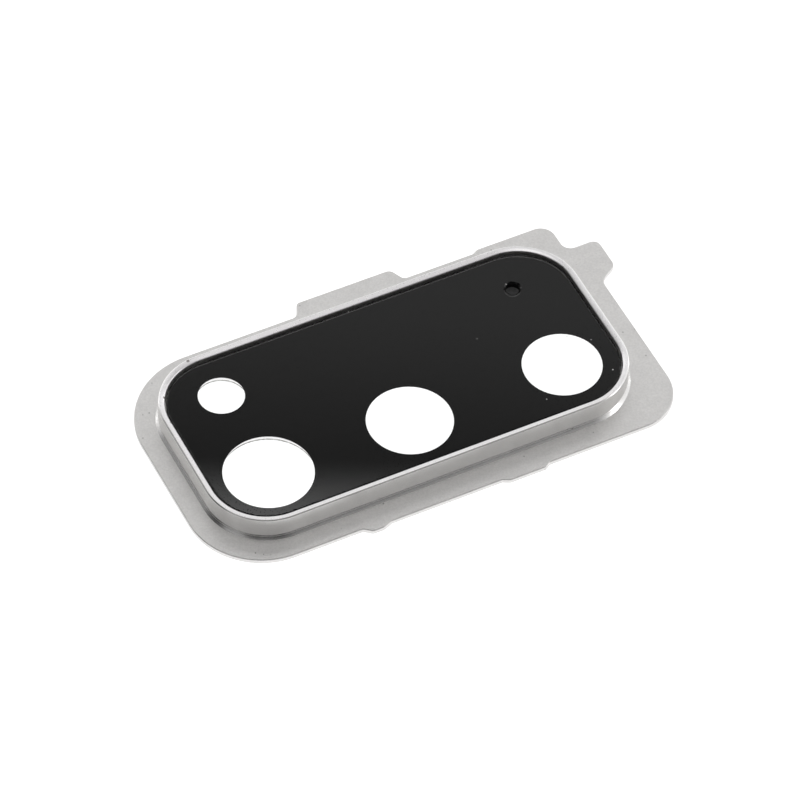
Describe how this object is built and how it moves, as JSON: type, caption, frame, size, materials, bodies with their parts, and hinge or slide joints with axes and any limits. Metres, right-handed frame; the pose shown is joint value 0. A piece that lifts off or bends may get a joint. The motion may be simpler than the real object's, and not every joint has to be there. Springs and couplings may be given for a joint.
{
  "type": "phone camera cover",
  "caption": "Rear camera cover of a phone: a flanged satin aluminium bezel round a black-printed cover glass with clear lens windows, a flash window and a microphone port.",
  "frame": {"origin": "centre of the raised ring, on the plane of the flange's underside", "axes": "+Z out of the phone's back through the glass; +X along the ring from the main lens to the far lens; +Y from the row of lenses towards the flash"},
  "size_m": [0.0422, 0.0234, 0.0026],
  "materials": {
    "bezel_aluminium": "fine bead-blasted and clear anodised, with a polished rim",
    "clear_glass": "polished",
    "black_print": "opaque black print behind glass",
    "bond_adhesive": "black die-cut adhesive",
    "seal_foam": "fine-celled foam",
    "mesh_weave": "fine woven dust mesh",
    "mesh_tape": "thin double-sided tape"
  },
  "bodies": {
    "root": {"bezel_frame": "bezel_aluminium", "cover_glass": "clear_glass", "print_mask": "black_print", "glass_bond": "bond_adhesive", "main_lens_seal": "seal_foam", "mid_lens_seal": "seal_foam", "far_lens_seal": "seal_foam", "flash_seal": "seal_foam", "mic_mesh": "mesh_weave", "mic_mesh_tape": "mesh_tape", "mic_gasket": "seal_foam"}
  },
  "joints": []
}
